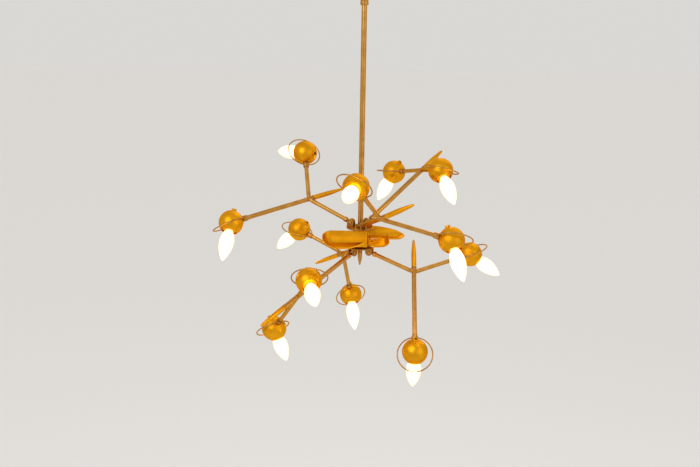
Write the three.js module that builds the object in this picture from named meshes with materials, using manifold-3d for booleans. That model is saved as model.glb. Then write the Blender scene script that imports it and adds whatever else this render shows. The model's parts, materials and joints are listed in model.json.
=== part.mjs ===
// Branch chandelier: a drop stem, a hub of two plates with four dishes between them, six arms
// of brazed brass tube, and twelve heads. A head is a brass ball in a wire ring, with a candle
// bulb standing out of it. Millimetres, +Z up. The origin is the centre of the top face of the
// ceiling plate.

import * as THREE from 'three';
import { mergeVertices } from 'three/addons/utils/BufferGeometryUtils.js';
import Module from 'manifold-3d';

const wasm = await Module();
wasm.setup();

// Clearances between pieces
const GAP = 0.3; // between faces that meet
const RUN = 0.4; // round a pin, spigot or tube in its bore

// Ceiling plate and canopy
const PLATE_RADIUS = 50;
const PLATE_THICKNESS = 4;
const PLATE_SCREW_RADIUS = 2.5;
const PLATE_SCREW_PITCH = 35; // from the centre
const WIRE_HOLE_RADIUS = 5;
const WIRE_HOLE_OFFSET = 24; // from the centre, beside the stem's socket
const SOCKET_WALL = 3; // boss under the plate that takes the stem
const SOCKET_DEPTH = 20;
const CANOPY_RADIUS = 62;
const CANOPY_DEPTH = 32;
const CANOPY_WALL = 1.6;
const CANOPY_COLLAR_WALL = 3.5;
const CANOPY_COLLAR_DEPTH = 12;
const CANOPY_CURVE = [[0.62, 0.1], [0.88, 0.32], [1, 0.62]]; // shares of its radius and depth

// Stem
const STEM_RADIUS = 6.35;
const STEM_BORE_RADIUS = 5;
const UPPER_STEM_LENGTH = 300;
const LOWER_STEM_LENGTH = 587;
const COUPLER_WALL = 2.8;
const COUPLER_LENGTH = 24;

// Hub, measured from its middle height
const HUB_PLATE_RADIUS = 34;
const HUB_PLATE_THICKNESS = 4;
const HUB_PLATE_HEIGHT = 22; // inner face of each plate, above and below the middle
const HUB_BOSS_RADIUS = 12;
const DISH_SEAT_RADIUS = 33; // disc of the lower hub that the dishes are screwed to
const DISH_SEAT_THICKNESS = 3;
const DISH_FLOOR_HEIGHT = -9; // top of the dishes' floors
const UPPER_AZIMUTH = 162; // of the first upper fork; the next ones follow clockwise
const LOWER_AZIMUTH = -18;

// Knuckles
const PIVOT_RADIUS = 24; // from the stem's axis
const PIVOT_HEIGHT = 35; // above or below the middle
const TONGUE_THICKNESS = 8;
const TONGUE_RADIUS = 7;
const EAR_THICKNESS = 4;
const EAR_RADIUS = 8.5;
const PIN_RADIUS = 2.5;
const TUBE_START = 12; // where the tube begins, out from its pivot

// Finial
const FINIAL_WASHER_RADIUS = 9;
const FINIAL_WASHER_THICKNESS = 2.5;
const FINIAL_RADIUS = 5.5;
const FINIAL_SHANK = 20;
const FINIAL_TAPER = 22;
const FINIAL_TIP_RADIUS = 1.8;
const FINIAL_SPIGOT = 8;

// Dishes, laid round the stem like the sails of a windmill. azimuth is where the far end points.
// inner and outer are the heights of the two long rims at the root, half way and the far end.
// lift raises the floor's far end, and roll raises its inner side there and lowers the outer one.
// reach is how far in the side walls come there, and by the stem it is half of that.
const DISH_OPENING = 17; // half of the square that they leave round the stem
const DISH_WIDTH = 52;
const DISH_WALL = 1.8;
const DISH_END_RADIUS = 22;
const DISH_FLAT_RADIUS = 36; // the floor is level up to here
const DISH_BEND_RADIUS = 100; // and fully lifted and rolled from here
const DISH_LIP = 5; // the steeper part of the side walls
const DISH_LIP_SHARE = 0.3;
const DISHES = [
  {
    name: 'left_dish', azimuth: 180, length: 108, lift: -1, roll: 2, reach: 21,
    inner: [20.5, 21, 21], outer: [8.7, -12.5, 1],
  },
  {
    name: 'front_dish', azimuth: -90, length: 112, lift: 7, roll: 0, reach: 12,
    inner: [5, 6, 3], outer: [10, 9.5, 3],
  },
  {
    name: 'right_dish', azimuth: 0, length: 127, lift: -1, roll: -3, reach: 18,
    inner: [5, -6, -4], outer: [12, 13, -3],
  },
  {
    name: 'back_dish', azimuth: 90, length: 110, lift: -8, roll: 0, reach: 18,
    inner: [9, 2, -8], outer: [9, 1, -8],
  },
];

// Arms
const SPIKE_TUBE_RADIUS = 5.5; // the tube that ends in the spike
const PLAIN_TUBE_RADIUS = 5;
const BEND_RADIUS = 26;
const NIPPLE_RADIUS = 3.6; // reduced end of a tube, inside the ball
const NIPPLE_LENGTH = 6;
const SPIGOT_RADIUS = 3; // reduced end of a tube, inside the spike
const SPIGOT_LENGTH = 10;

// Spikes
const SPIKE_RADIUS = 5.9;
const SPIKE_LENGTH = 74;
const SPIKE_TIP_RADIUS = 2.4;
const SPIKE_TIP_ROUNDING = 1.5;
const SPIKE_CURVE = [[1, 0.4], [0.9, 0.62], [0.68, 0.88]]; // shares of its radius and length

// Heads, measured from the ball's centre
const BALL_RADIUS = 30;
const BALL_WALL = 1.6;
const MOUTH_RADIUS = 19;
const COLLAR_RADIUS = 6; // round the hole at the back of the ball
const COLLAR_LENGTH = 5;
const COLLAR_BORE_RADIUS = 3.5;
const HOLDER_WALL = 3;
const HOLDER_TOP = 20;
const CAP_RADIUS = 7; // the lamp's own cap
const CAP_LENGTH = 25;
const GLASS_START = 26;
const NECK_RADIUS = 11.5;
const BULB_RADIUS = 17.5;
const BULB_TIP = 98;
const BULB_CURVE = [[0.9, 0.16], [1, 0.34], [0.9, 0.56], [0.55, 0.81], [0.2, 0.965]]; // as above
const RING_RADIUS = 41;
const RING_OFFSET = 6.2; // of the ring's centre from the ball's, away from the leg
const RING_WIRE_RADIUS = 1.5;
const FERRULE_WALL = 1.4;
const FERRULE_END = 42;

// Numbers of flats and steps
const STEM_SIDES = 12;
const PLATE_SIDES = 20;
const TUBE_SIDES = 8;
const PIN_SIDES = 8;
const NIPPLE_SIDES = 6;
const TONGUE_SIDES = 10;
const EAR_SEGMENTS = 4;
const DISH_SIDE_STEPS = 6;
const DISH_END_STEPS = 4;
const DISH_ROOT_STEPS = 4;
const DISH_LOOPS = [0, 2.5, 5, 10, 16, 21]; // how far in they are drawn
const BEND_STEP = 18; // degrees
const BALL_SIDES = 10;
const BALL_STEPS = 5; // from the collar to the mouth
const LEG_HOLE_SIDES = 10;
const BULB_SIDES = 8;
const RING_SIDES = 4;
const FERRULE_SIDES = 10;
const RING_STEPS = 18;

// The six arms, clockwise from above in each layer. Angles are in degrees: azimuth is round
// from +X, and slope is up from level. The hub's tube leaves its fork at a slope, and reach is
// how far its junction lies from the pivot. hubTube says where that tube goes on to, and the
// other tube joins the two ends that are left. Lengths run from the junction: stub to the
// spike's base, and a leg's length to its ball's centre. roll turns the head about its leg, and
// tilt is the angle between the leg's line and the bulb. hoop is how the ring is set on the leg,
// turned about it and tipped from it.
const ARMS = [
  {
    layer: 'upper', slope: 24, reach: 120, hubTube: 'left', stub: 13,
    spike: { azimuth: 16, slope: 14.6 },
    left: {
      length: 132, azimuth: 99.5, slope: 50.4, roll: 43.7, tilt: 63.4, hoop: { turn: 30.3, tip: -9.4 },
    },
    right: {
      length: 199, azimuth: 196, slope: -14.6, roll: 33, tilt: 59.8, hoop: { turn: 9.9, tip: -4.4 },
    },
  },
  {
    layer: 'upper', slope: 30.6, reach: 214, hubTube: 'spike', stub: 10,
    spike: { azimuth: 42, slope: 30.6 },
    left: {
      length: 117, azimuth: 125, slope: -10.8, roll: 10.6, tilt: 48, hoop: { turn: 2.4, tip: 3 },
    },
    right: {
      length: 157, azimuth: -77.4, slope: 9, roll: 10.5, tilt: 54.6, hoop: { turn: 26.8, tip: 3.3 },
    },
  },
  {
    layer: 'upper', slope: 17, reach: 183, hubTube: 'spike', stub: 15,
    spike: { azimuth: -25, slope: 27 },
    left: {
      length: 113, azimuth: -134.5, slope: 46, roll: 37.1, tilt: 60, hoop: { turn: 28.3, tip: -2.4 },
    },
    right: {
      length: 166, azimuth: -1.8, slope: -15.7, roll: -34.6, tilt: 61.3, hoop: { turn: -3.3, tip: 7 },
    },
  },
  {
    layer: 'lower', slope: -19.4, reach: 120, hubTube: 'left', stub: 13,
    spike: { azimuth: 89.5, slope: 49.2 },
    left: {
      length: 176, azimuth: 33.8, slope: 7.1, roll: -25.3, tilt: 48.1, hoop: { turn: -13.1, tip: 9.6 },
    },
    right: {
      length: 203, azimuth: -90.5, slope: -49.2, roll: -1.3, tilt: 54.8, hoop: { turn: -5.5, tip: -3.9 },
    },
  },
  {
    layer: 'lower', slope: -24.8, reach: 187, hubTube: 'spike', stub: 45,
    spike: { azimuth: -138, slope: -24.8 },
    left: {
      length: 96, azimuth: -68.3, slope: 37.8, roll: -11.2, tilt: 57, hoop: { turn: 2.9, tip: 6.2 },
    },
    right: {
      length: 161, azimuth: 123.3, slope: -44.2, roll: -29.1, tilt: 48.5, hoop: { turn: -29.2, tip: 4.7 },
    },
  },
  {
    layer: 'lower', slope: -17.8, reach: 192, hubTube: 'spike', stub: 16,
    spike: { azimuth: 155.5, slope: -25 },
    left: {
      length: 139, azimuth: 157, slope: 21.7, roll: -8.9, tilt: 62.7, hoop: { turn: -4.7, tip: -4.1 },
    },
    right: {
      length: 165, azimuth: 75, slope: -57.8, roll: -16.7, tilt: 58, hoop: { turn: 13.3, tip: 5 },
    },
  },
];

// Sizes that follow from these
const BORE_FOR_STEM = STEM_RADIUS + RUN;
const EAR_INNER = TONGUE_THICKNESS / 2 + RUN;
const EAR_OUTER = EAR_INNER + EAR_THICKNESS;
const HUB_OUTER_HEIGHT = HUB_PLATE_HEIGHT + HUB_PLATE_THICKNESS;
const SEAT_HEIGHT = DISH_FLOOR_HEIGHT - DISH_WALL - GAP; // of the lower hub, under the dishes
const BOSS_END = SEAT_HEIGHT + GAP; // of the upper hub, which stands on it
const HOLDER_BORE_RADIUS = CAP_RADIUS + RUN;
const HOLDER_RADIUS = HOLDER_BORE_RADIUS + HOLDER_WALL;
const HOLDER_FLOOR = GLASS_START - CAP_LENGTH - 2 * GAP;
const TUBE_END = BALL_RADIUS + GAP;
const UPPER_STEM_TOP = -PLATE_THICKNESS - GAP;
const COUPLER_MIDDLE = UPPER_STEM_TOP - UPPER_STEM_LENGTH;
const LOWER_STEM_TOP = COUPLER_MIDDLE - GAP;
const LOWER_STEM_BOTTOM = LOWER_STEM_TOP - LOWER_STEM_LENGTH;
const HUB_MIDDLE = LOWER_STEM_BOTTOM + HUB_OUTER_HEIGHT;

const rad = THREE.MathUtils.degToRad;
const UP = new THREE.Vector3(0, 0, 1);

// Finishes
function brass(color, roughness) {
  return new THREE.MeshStandardMaterial({ color, roughness, metalness: 1, flatShading: true });
}
const SATIN_BRASS = brass(0xb07c34, 0.35);
const DARK_BRASS = brass(0x7a5a30, 0.45);
const GOLDEN_BRASS = brass(0xd9960f, 0.25);
const STEEL = brass(0x8d8f92, 0.5);
const FROSTED_GLASS = new THREE.MeshStandardMaterial({
  color: 0xfff4e0, roughness: 0.5, metalness: 0, emissive: 0xffe2b0, flatShading: true,
});

// A closed mesh as a solid, and back
function solid(geometry) {
  const bare = geometry.clone();
  bare.deleteAttribute('normal');
  bare.deleteAttribute('uv');
  const merged = mergeVertices(bare, 1e-4);
  return new wasm.Manifold(new wasm.Mesh({
    numProp: 3,
    vertProperties: new Float32Array(merged.attributes.position.array),
    triVerts: new Uint32Array(merged.index.array),
  }));
}

function geometryOf(body) {
  const mesh = body.getMesh();
  const geometry = new THREE.BufferGeometry();
  geometry.setAttribute('position', new THREE.BufferAttribute(mesh.vertProperties, 3));
  geometry.setIndex(new THREE.BufferAttribute(mesh.triVerts, 1));
  geometry.computeVertexNormals();
  return geometry;
}

// A profile of [radius, height] pairs turned about Z
function turned(profile, sides) {
  const points = profile.map(([r, z]) => new THREE.Vector2(r, z));
  return new THREE.LatheGeometry(points, sides).rotateX(Math.PI / 2);
}

function rod(radius, from, to, sides) {
  return turned([[0, from], [radius, from], [radius, to], [0, to]], sides);
}

function pipe(outer, inner, from, to, sides) {
  return turned([[inner, from], [outer, from], [outer, to], [inner, to], [inner, from]], sides);
}

// Points on a sphere's profile, from one angle off the axis to another
function sphereArc(radius, fromAngle, toAngle, steps) {
  const points = [];
  for (let i = 0; i <= steps; i += 1) {
    const angle = fromAngle + (toAngle - fromAngle) * (i / steps);
    points.push([radius * Math.sin(angle), radius * Math.cos(angle)]);
  }
  return points;
}

function direction({ azimuth, slope }) {
  const a = rad(azimuth);
  const s = rad(slope);
  return new THREE.Vector3(Math.cos(s) * Math.cos(a), Math.cos(s) * Math.sin(a), Math.sin(s));
}

// A rod along a direction, between two distances from the local origin
function rodAlong(along, radius, from, to, sides) {
  const turn = new THREE.Quaternion().setFromUnitVectors(UP, along);
  return rod(radius, from, to, sides).applyQuaternion(turn);
}

// Two straight runs joined by a round bend at the local origin
class BentLine extends THREE.Curve {
  constructor(start, end, bendRadius) {
    super();
    const into = start.clone().negate().normalize();
    const out = end.clone().normalize();
    const turn = into.angleTo(out);
    this.stations = [{ point: start, tangent: into }];
    if (turn > rad(1)) {
      const steps = Math.ceil(turn / rad(BEND_STEP));
      const side = out.clone().addScaledVector(into, -out.dot(into)).normalize();
      const centre = into.clone().multiplyScalar(-bendRadius * Math.tan(turn / 2));
      centre.addScaledVector(side, bendRadius);
      for (let i = 0; i <= steps; i += 1) {
        const angle = turn * (i / steps);
        const point = centre.clone();
        point.addScaledVector(side, -bendRadius * Math.cos(angle));
        point.addScaledVector(into, bendRadius * Math.sin(angle));
        const tangent = into.clone().multiplyScalar(Math.cos(angle));
        tangent.addScaledVector(side, Math.sin(angle));
        this.stations.push({ point, tangent });
      }
    }
    this.stations.push({ point: end, tangent: out });
  }

  get steps() {
    return this.stations.length - 1;
  }

  getPointAt(u) {
    return this.stations[Math.round(u * this.steps)].point.clone();
  }

  getTangentAt(u) {
    return this.stations[Math.round(u * this.steps)].tangent.clone();
  }
}

function roundShape(radius, sides) {
  const shape = new THREE.Shape();
  shape.moveTo(radius, 0);
  for (let i = 1; i < sides; i += 1) {
    const angle = (2 * Math.PI * i) / sides;
    shape.lineTo(radius * Math.cos(angle), radius * Math.sin(angle));
  }
  return shape;
}

function bentTube(start, end, radius) {
  const line = new BentLine(start, end, BEND_RADIUS);
  return new THREE.ExtrudeGeometry(roundShape(radius, TUBE_SIDES), {
    steps: line.steps, bevelEnabled: false, extrudePath: line,
  });
}

function ceilingPlate() {
  const underside = -PLATE_THICKNESS;
  const outer = BORE_FOR_STEM + SOCKET_WALL;
  const disc = solid(turned([
    [0, underside],
    [BORE_FOR_STEM, underside],
    [BORE_FOR_STEM, underside - SOCKET_DEPTH],
    [outer, underside - SOCKET_DEPTH],
    [outer, underside],
    [PLATE_RADIUS, underside],
    [PLATE_RADIUS, 0],
    [0, 0],
  ], PLATE_SIDES));
  const screwHole = rod(PLATE_SCREW_RADIUS, underside - 1, 1, PIN_SIDES);
  const wireHole = rod(WIRE_HOLE_RADIUS, underside - 1, 1, PIN_SIDES);
  const left = solid(screwHole.clone().translate(-PLATE_SCREW_PITCH, 0, 0));
  const right = solid(screwHole.clone().translate(PLATE_SCREW_PITCH, 0, 0));
  const wires = solid(wireHole.translate(0, WIRE_HOLE_OFFSET, 0));
  return geometryOf(disc.subtract(left).subtract(right).subtract(wires));
}

// A cup, open at the top, with a collar round the stem
function canopy() {
  const top = -GAP;
  const bottom = top - CANOPY_DEPTH;
  const collar = BORE_FOR_STEM + CANOPY_COLLAR_WALL;
  const outside = CANOPY_CURVE.map(([r, z]) => [CANOPY_RADIUS * r, bottom + CANOPY_DEPTH * z]);
  const inside = outside.map(([r, z]) => [r - CANOPY_WALL, z + CANOPY_WALL / 2]).reverse();
  return turned([
    [BORE_FOR_STEM, bottom - CANOPY_COLLAR_DEPTH],
    [collar, bottom - CANOPY_COLLAR_DEPTH],
    [collar, bottom],
    ...outside,
    [CANOPY_RADIUS, top],
    [CANOPY_RADIUS - CANOPY_WALL, top],
    ...inside,
    [BORE_FOR_STEM, bottom + CANOPY_WALL],
    [BORE_FOR_STEM, bottom - CANOPY_COLLAR_DEPTH],
  ], PLATE_SIDES);
}

function stem(length) {
  return pipe(STEM_RADIUS, STEM_BORE_RADIUS, -length, 0, STEM_SIDES);
}

function coupler() {
  const half = COUPLER_LENGTH / 2;
  return pipe(BORE_FOR_STEM + COUPLER_WALL, BORE_FOR_STEM, -half, half, STEM_SIDES);
}

// Two ears on a foot, drilled for the arm's pin, which lies along local Y at the origin
function fork() {
  const foot = PIVOT_HEIGHT - HUB_OUTER_HEIGHT + 1; // down to just inside the plate
  const shape = new THREE.Shape();
  shape.moveTo(EAR_RADIUS, -foot);
  shape.absarc(0, 0, EAR_RADIUS, 0, Math.PI);
  shape.lineTo(-EAR_RADIUS, -foot);
  const hole = new THREE.Path().absarc(0, 0, PIN_RADIUS + RUN, 0, 2 * Math.PI);
  shape.holes.push(hole);
  const ear = new THREE.ExtrudeGeometry(shape, {
    depth: EAR_THICKNESS, bevelEnabled: false, curveSegments: EAR_SEGMENTS,
  });
  ear.rotateX(Math.PI / 2);
  return [ear.clone().translate(0, -EAR_INNER, 0), ear.clone().translate(0, EAR_OUTER, 0)];
}

// Half of the hub, with its plate and forks on top and a boss below
function hubHalf(bossEnd) {
  const plate = rod(HUB_PLATE_RADIUS, HUB_PLATE_HEIGHT, HUB_OUTER_HEIGHT, PLATE_SIDES);
  const boss = rod(HUB_BOSS_RADIUS, bossEnd, HUB_PLATE_HEIGHT + 1, STEM_SIDES);
  let body = solid(plate).add(solid(boss));
  for (let i = 0; i < 3; i += 1) {
    for (const ear of fork()) {
      ear.translate(PIVOT_RADIUS, 0, PIVOT_HEIGHT).rotateZ(rad(120 * i));
      body = body.add(solid(ear));
    }
  }
  return body;
}

function upperHub() {
  const bore = rod(BORE_FOR_STEM, BOSS_END - 1, HUB_OUTER_HEIGHT + 1, STEM_SIDES);
  return geometryOf(hubHalf(BOSS_END).subtract(solid(bore)));
}

// Drawn upside down, with the disc that the dishes and the upper boss stand on
function lowerHub() {
  const face = -SEAT_HEIGHT;
  const disc = rod(DISH_SEAT_RADIUS, face, face + DISH_SEAT_THICKNESS, PLATE_SIDES);
  const bore = rod(BORE_FOR_STEM, face - 1, HUB_OUTER_HEIGHT + 1, STEM_SIDES);
  return geometryOf(hubHalf(face).add(solid(disc)).subtract(solid(bore)));
}

// The washer bears on the lower hub, and the spigot stands in the stem's bore
function finial() {
  const spigot = STEM_BORE_RADIUS - RUN;
  const shank = -FINIAL_WASHER_THICKNESS - FINIAL_SHANK;
  return turned([
    [0, shank - FINIAL_TAPER],
    [FINIAL_TIP_RADIUS / 2, shank - FINIAL_TAPER],
    [FINIAL_TIP_RADIUS, shank - FINIAL_TAPER + 1],
    [FINIAL_RADIUS, shank],
    [FINIAL_RADIUS, -FINIAL_WASHER_THICKNESS],
    [FINIAL_WASHER_RADIUS, -FINIAL_WASHER_THICKNESS],
    [FINIAL_WASHER_RADIUS, 0],
    [spigot, 0],
    [spigot, FINIAL_SPIGOT],
    [0, FINIAL_SPIGOT],
  ], STEM_SIDES);
}

// A dish's outline, drawn in by an inset, with a square root and a round far end
function dishPlan(length, inset) {
  const end = Math.max(DISH_END_RADIUS - inset, 1);
  const low = inset;
  const high = DISH_WIDTH - inset;
  const far = length - inset;
  const points = [];
  for (let i = 0; i < DISH_SIDE_STEPS; i += 1) {
    points.push([low + (far - end - low) * (i / DISH_SIDE_STEPS), low]);
  }
  for (const [centre, first] of [[low + end, -90], [high - end, 0]]) {
    for (let i = 0; i <= DISH_END_STEPS; i += 1) {
      const turn = rad(first + 90 * (i / DISH_END_STEPS));
      points.push([far - end + end * Math.cos(turn), centre + end * Math.sin(turn)]);
    }
  }
  for (let i = 1; i <= DISH_SIDE_STEPS; i += 1) {
    points.push([far - end - (far - end - low) * (i / DISH_SIDE_STEPS), high]);
  }
  for (let i = 1; i < DISH_ROOT_STEPS; i += 1) {
    points.push([low, high - (high - low) * (i / DISH_ROOT_STEPS)]);
  }
  return points;
}

// A smooth curve through three values, at its start, half way and its end
function through([start, middle, end], u) {
  return start * (1 - u) * (1 - 2 * u) + 4 * middle * u * (1 - u) + end * u * (2 * u - 1);
}

// A sheet-metal dish, laid out from the hub's middle with its far end towards +X. Its root is
// open, and its other sides rise to the rim.
function dish({ length, lift, roll, reach, inner, outer }) {
  const root = -DISH_OPENING + 2 * GAP;
  const middle = DISH_OPENING + DISH_WIDTH / 2;
  const fromRim = (x, y) => {
    const side = DISH_WIDTH / 2 - Math.abs(y - middle);
    const out = x - (root + length - DISH_END_RADIUS);
    if (out > 0 && side < DISH_END_RADIUS) {
      return DISH_END_RADIUS - Math.hypot(out, DISH_END_RADIUS - side);
    }
    return Math.min(side, DISH_END_RADIUS - Math.max(out, 0));
  };
  const bend = (x, y) => THREE.MathUtils.clamp(
    (Math.hypot(x, y) - DISH_FLAT_RADIUS) / (DISH_BEND_RADIUS - DISH_FLAT_RADIUS), 0, 1,
  );
  const share = (x, y, wall) => {
    const depth = (fromRim(x, y) - wall) * (2 - bend(x, y));
    const slope = THREE.MathUtils.clamp(1 - depth / reach, 0, 1) ** 1.5;
    const lip = THREE.MathUtils.clamp(1 - depth / DISH_LIP, 0, 1) ** 2;
    return slope * (1 - DISH_LIP_SHARE) + lip * DISH_LIP_SHARE;
  };
  const height = (x, y, rise) => {
    const across = (y - DISH_OPENING) / DISH_WIDTH;
    const along = (x - root) / length;
    const floor = DISH_FLOOR_HEIGHT + bend(x, y) * (lift + roll * (1 - 2 * across));
    const rim = THREE.MathUtils.lerp(through(inner, along), through(outer, along), across);
    return floor + rise * (rim - floor);
  };
  const surface = (inwards, wall) => {
    const place = (x, y) => {
      const rise = share(x, y, inwards);
      return [x, y, height(x, y, rise) - wall * (1 - rise)];
    };
    const loops = DISH_LOOPS.map((inset) => dishPlan(length, inset + inwards).map(
      ([x, y]) => place(x + root, y + DISH_OPENING),
    ));
    return { loops, middle: place(root + length / 2, middle) };
  };
  const triangles = [];
  const quad = (a, b, c, d) => triangles.push(a, b, c, a, c, d);
  const top = surface(DISH_WALL, 0);
  const bottom = surface(0, DISH_WALL);
  const count = top.loops[0].length;
  const last = DISH_LOOPS.length - 1;
  for (let i = 0; i < count; i += 1) {
    const j = (i + 1) % count;
    for (let k = 0; k < last; k += 1) {
      quad(top.loops[k][i], top.loops[k][j], top.loops[k + 1][j], top.loops[k + 1][i]);
      quad(bottom.loops[k][j], bottom.loops[k][i], bottom.loops[k + 1][i], bottom.loops[k + 1][j]);
    }
    triangles.push(top.loops[last][i], top.loops[last][j], top.middle);
    triangles.push(bottom.loops[last][j], bottom.loops[last][i], bottom.middle);
    quad(top.loops[0][j], top.loops[0][i], bottom.loops[0][i], bottom.loops[0][j]);
  }
  const geometry = new THREE.BufferGeometry();
  geometry.setAttribute('position', new THREE.Float32BufferAttribute(triangles.flat(), 3));
  return geometryOf(solid(geometry));
}

// The tongue that fills a fork, with its pin through it, and the neck of the hub's tube
function tongue(outward, pinAxis) {
  const half = TONGUE_THICKNESS / 2;
  const disc = solid(rodAlong(pinAxis, TONGUE_RADIUS, -half, half, TONGUE_SIDES));
  const pin = solid(rodAlong(pinAxis, PIN_RADIUS, -EAR_OUTER, EAR_OUTER, PIN_SIDES));
  const neck = solid(rodAlong(outward, half, 0, TUBE_START + 1, TUBE_SIDES));
  return disc.add(pin).add(neck);
}

// An arm about its own junction: two tubes brazed where they cross
function armTubes(arm, ends) {
  const reach = {
    hub: arm.reach - TUBE_START,
    spike: arm.stub,
    left: arm.left.length - TUBE_END,
    right: arm.right.length - TUBE_END,
  };
  const other = ['spike', 'left', 'right'].filter((name) => name !== arm.hubTube);
  let body = null;
  for (const pair of [['hub', arm.hubTube], other]) {
    const radius = pair.includes('spike') ? SPIKE_TUBE_RADIUS : PLAIN_TUBE_RADIUS;
    const [start, end] = pair.map((name) => ends[name].clone().multiplyScalar(reach[name]));
    const tube = solid(bentTube(start, end, radius));
    body = body === null ? tube : body.add(tube);
  }
  for (const name of ['left', 'right']) {
    const last = reach[name] + NIPPLE_LENGTH;
    const nipple = rodAlong(ends[name], NIPPLE_RADIUS, reach[name] - 1, last, NIPPLE_SIDES);
    body = body.add(solid(nipple));
  }
  const tip = arm.stub + SPIGOT_LENGTH;
  return body.add(solid(rodAlong(ends.spike, SPIGOT_RADIUS, arm.stub - 1, tip, NIPPLE_SIDES)));
}

function spike() {
  const bore = SPIGOT_RADIUS + RUN;
  return turned([
    [0, SPIGOT_LENGTH + GAP],
    [bore, SPIGOT_LENGTH + GAP],
    [bore, 0],
    [SPIKE_RADIUS, 0],
    ...SPIKE_CURVE.map(([r, z]) => [SPIKE_RADIUS * r, SPIKE_LENGTH * z]),
    [SPIKE_TIP_RADIUS, SPIKE_LENGTH - SPIKE_TIP_ROUNDING],
    [SPIKE_TIP_RADIUS / 2, SPIKE_LENGTH],
    [0, SPIKE_LENGTH],
  ], TUBE_SIDES);
}

// In a head, +X runs on along its leg, and the bulb leans from +Z towards +X.

// Ball shell with the lamp holder on its back wall, a wire hole through both, and a hole in its
// side for the leg
function ball(lean) {
  const inner = BALL_RADIUS - BALL_WALL;
  const mouth = Math.asin(MOUTH_RADIUS / BALL_RADIUS);
  const back = Math.PI - Math.asin(COLLAR_RADIUS / BALL_RADIUS);
  const innerMouth = Math.asin((MOUTH_RADIUS - BALL_WALL / 2) / inner);
  const innerBack = Math.PI - Math.asin(HOLDER_RADIUS / inner);
  const shell = solid(turned([
    [COLLAR_BORE_RADIUS, -BALL_RADIUS - COLLAR_LENGTH],
    [COLLAR_RADIUS, -BALL_RADIUS - COLLAR_LENGTH],
    ...sphereArc(BALL_RADIUS, back, mouth, BALL_STEPS),
    ...sphereArc(inner, innerMouth, innerBack, BALL_STEPS - 1),
    [HOLDER_RADIUS, HOLDER_TOP],
    [HOLDER_BORE_RADIUS, HOLDER_TOP],
    [HOLDER_BORE_RADIUS, HOLDER_FLOOR],
    [COLLAR_BORE_RADIUS, HOLDER_FLOOR],
    [COLLAR_BORE_RADIUS, -BALL_RADIUS - COLLAR_LENGTH],
  ], BALL_SIDES).rotateY(lean));
  const hole = rod(NIPPLE_RADIUS + RUN, inner - NIPPLE_LENGTH, BALL_RADIUS + 1, LEG_HOLE_SIDES);
  return geometryOf(shell.subtract(solid(hole.rotateY(-Math.PI / 2))));
}

// Wire ring, with the ferrule that sits round the leg's end and bears on the ball. It is set on
// the ferrule at the point nearest to the hub.
function ring({ turn, tip }) {
  const torus = new THREE.TorusGeometry(RING_RADIUS, RING_WIRE_RADIUS, RING_SIDES, RING_STEPS);
  torus.translate(RING_RADIUS, 0, 0).rotateY(rad(tip));
  torus.translate(RING_OFFSET - RING_RADIUS, 0, 0).rotateX(-rad(turn));
  const bore = SPIKE_TUBE_RADIUS + RUN;
  const face = Math.sqrt(BALL_RADIUS ** 2 - bore ** 2) + GAP;
  const ferrule = rod(bore + FERRULE_WALL, face, FERRULE_END, FERRULE_SIDES).rotateY(-Math.PI / 2);
  const hole = rod(bore, face - 1, FERRULE_END + 1, FERRULE_SIDES).rotateY(-Math.PI / 2);
  return geometryOf(solid(torus).add(solid(ferrule)).subtract(solid(hole)));
}

// Candle lamp: cap, neck and frosted glass
function bulb() {
  const glass = BULB_TIP - GLASS_START;
  return turned([
    [0, GLASS_START - CAP_LENGTH],
    [CAP_RADIUS, GLASS_START - CAP_LENGTH],
    [CAP_RADIUS, GLASS_START],
    [NECK_RADIUS, GLASS_START],
    ...BULB_CURVE.map(([r, z]) => [BULB_RADIUS * r, GLASS_START + glass * z]),
    [0, BULB_TIP],
  ], BULB_SIDES);
}

function mesh(name, geometry, material) {
  const made = new THREE.Mesh(geometry, material);
  made.name = name;
  return made;
}

const chandelier = new THREE.Group();

// The drop, from the ceiling down to the finial
function addDrop() {
  const upper = mesh('upper_stem', stem(UPPER_STEM_LENGTH), SATIN_BRASS);
  upper.position.z = UPPER_STEM_TOP;
  const joint = mesh('stem_coupler', coupler(), SATIN_BRASS);
  joint.position.z = COUPLER_MIDDLE;
  const lower = mesh('lower_stem', stem(LOWER_STEM_LENGTH), SATIN_BRASS);
  lower.position.z = LOWER_STEM_TOP;
  const tip = mesh('finial', finial(), SATIN_BRASS);
  tip.position.z = LOWER_STEM_BOTTOM - GAP;
  chandelier.add(mesh('ceiling_plate', ceilingPlate(), STEEL));
  chandelier.add(mesh('canopy', canopy(), SATIN_BRASS), upper, joint, lower, tip);
}

function addHub(hub) {
  const upper = mesh('upper_hub', upperHub(), DARK_BRASS);
  upper.rotation.z = rad(UPPER_AZIMUTH);
  const lower = mesh('lower_hub', lowerHub(), DARK_BRASS);
  lower.rotation.set(Math.PI, 0, rad(-LOWER_AZIMUTH)); // turned upside down
  hub.add(upper, lower);
  for (const shape of DISHES) {
    const leaf = mesh(shape.name, dish(shape), GOLDEN_BRASS);
    leaf.rotation.z = rad(shape.azimuth);
    hub.add(leaf);
  }
}

// A head at the end of a leg. Rolled by nothing, its bulb leans towards straight down.
function addHead(junction, leg, along, names) {
  const head = new THREE.Group();
  const down = UP.clone().negate();
  const hanging = down.addScaledVector(along, -down.dot(along)).normalize();
  const side = hanging.applyAxisAngle(along, rad(leg.roll));
  const across = side.clone().cross(along);
  head.quaternion.setFromRotationMatrix(new THREE.Matrix4().makeBasis(along, across, side));
  head.position.copy(along).multiplyScalar(leg.length);
  const lean = rad(90 - leg.tilt);
  const lamp = mesh(names[2], bulb(), FROSTED_GLASS);
  lamp.rotation.y = lean;
  head.add(mesh(names[0], ball(lean), GOLDEN_BRASS), mesh(names[1], ring(leg.hoop), DARK_BRASS), lamp);
  junction.add(head);
}

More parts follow.
